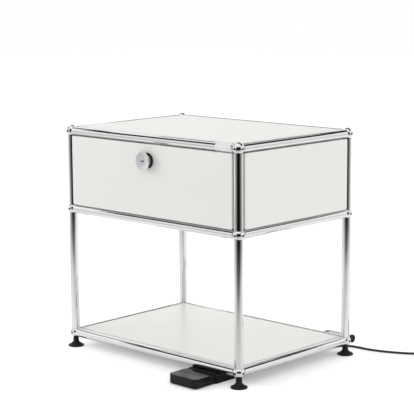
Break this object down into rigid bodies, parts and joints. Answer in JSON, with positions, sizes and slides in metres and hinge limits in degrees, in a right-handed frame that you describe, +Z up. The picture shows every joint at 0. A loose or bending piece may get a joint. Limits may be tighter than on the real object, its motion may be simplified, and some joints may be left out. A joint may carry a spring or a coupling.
{
  "type": "nightstand",
  "caption": "Nightstand of chromed tubes and balls with off-white steel panels, a drop-down door with a locking knob, an open shelf, a light in one rail and a corded foot dimmer",
  "frame": {"origin": "on the floor, at the bottom centre of the nightstand's box without its lead and dimmer", "axes": "+X is the right of the front, +Y the back, +Z up"},
  "size_m": [0.7559, 0.6103, 0.5042],
  "materials": {
    "chrome": "polished chrome plate on steel and brass",
    "panel_white": "smooth warm off-white powder coat, satin",
    "black_plastic": "fine-grained black moulding",
    "steel": "zinc-plated steel",
    "satin_metal": "satin, bead-blasted",
    "light_lens": "opal diffuser",
    "circuit_board": "solder-masked board",
    "rubber": "soft black rubber",
    "cord": "smooth sheath, slightly glossy",
    "plug_metal": "nickel-washed brass pins"
  },
  "bodies": {
    "frame": {"back_panel": "panel_white", "balls_bottom": "chrome", "balls_middle": "chrome", "balls_top": "chrome", "coil_tie": "rubber", "dimmer_base": "black_plastic", "dimmer_board": "circuit_board", "dimmer_cover": "black_plastic", "dimmer_glands": "black_plastic", "dimmer_hinge_pin": "steel", "dimmer_pads": "rubber", "dimmer_switch": "black_plastic", "door_keeper": "steel", "door_stop_pins": "steel", "feed_cap": "black_plastic", "feed_clip": "black_plastic", "feed_gland": "black_plastic", "feed_lead": "cord", "feed_sleeve": "chrome", "floor_panel": "panel_white", "front_bottom_rail": "chrome", "front_middle_rail": "chrome", "front_top_rail": "chrome", "left_panel": "panel_white", "light_board": "circuit_board", "light_carrier": "satin_metal", "light_end_caps": "black_plastic", "light_lens": "light_lens", "mains_coil": "cord", "mains_lead": "cord", "panel_clips": "black_plastic", "plug_body": "black_plastic", "plug_pins": "plug_metal", "posts_lower": "chrome", "posts_upper": "chrome", "rear_rails": "chrome", "right_panel": "panel_white", "shelf_panel": "panel_white", "side_rails": "chrome", "top_panel": "panel_white", "touch_sleeve": "satin_metal", "tube_connectors": "steel"},
    "door": {"door_panel": "panel_white", "hinge_clips": "steel", "lock_case": "steel", "knob_rosette": "black_plastic"},
    "knob": {"knob": "chrome", "latch_cam": "steel", "cam_nut": "steel"},
    "lock": {"lock_cylinder": "chrome"},
    "dimmer_pedal": {"dimmer_pedal": "black_plastic"},
    "foot_front_left": {"foot_glide_front_left": "black_plastic", "foot_stud_front_left": "steel"},
    "foot_front_right": {"foot_glide_front_right": "black_plastic", "foot_stud_front_right": "steel"},
    "foot_rear_left": {"foot_glide_rear_left": "black_plastic", "foot_stud_rear_left": "steel"},
    "foot_rear_right": {"foot_glide_rear_right": "black_plastic", "foot_stud_rear_right": "steel"}
  },
  "joints": [
    {"name": "door_drop", "type": "hinge", "parent": "frame", "child": "door", "pos_m": [0, -0.17765, 0.317], "axis": [1, 0, 0], "range_deg": [0, 90]},
    {"name": "knob_turn", "type": "hinge", "parent": "door", "child": "knob", "pos_m": [0, -0.18665, 0.447], "axis": [0, 1, 0], "range_deg": [0, 90]},
    {"name": "key_turn", "type": "hinge", "parent": "knob", "child": "lock", "pos_m": [0, -0.19765, 0.447], "axis": [0, 1, 0], "range_deg": [0, 90]},
    {"name": "pedal_press", "type": "hinge", "parent": "frame", "child": "dimmer_pedal", "pos_m": [0.16, -0.2008, 0.009], "axis": [1, 0, 0], "range_deg": [0, 2.5], "stiffness_Nm_per_rad": 6},
    {"name": "level_front_left", "type": "slide", "parent": "frame", "child": "foot_front_left", "axis": [0, 0, -1], "range_m": [0, 0.01]},
    {"name": "level_front_right", "type": "slide", "parent": "frame", "child": "foot_front_right", "axis": [0, 0, -1], "range_m": [0, 0.01]},
    {"name": "level_rear_left", "type": "slide", "parent": "frame", "child": "foot_rear_left", "axis": [0, 0, -1], "range_m": [0, 0.01]},
    {"name": "level_rear_right", "type": "slide", "parent": "frame", "child": "foot_rear_right", "axis": [0, 0, -1], "range_m": [0, 0.01]}
  ]
}
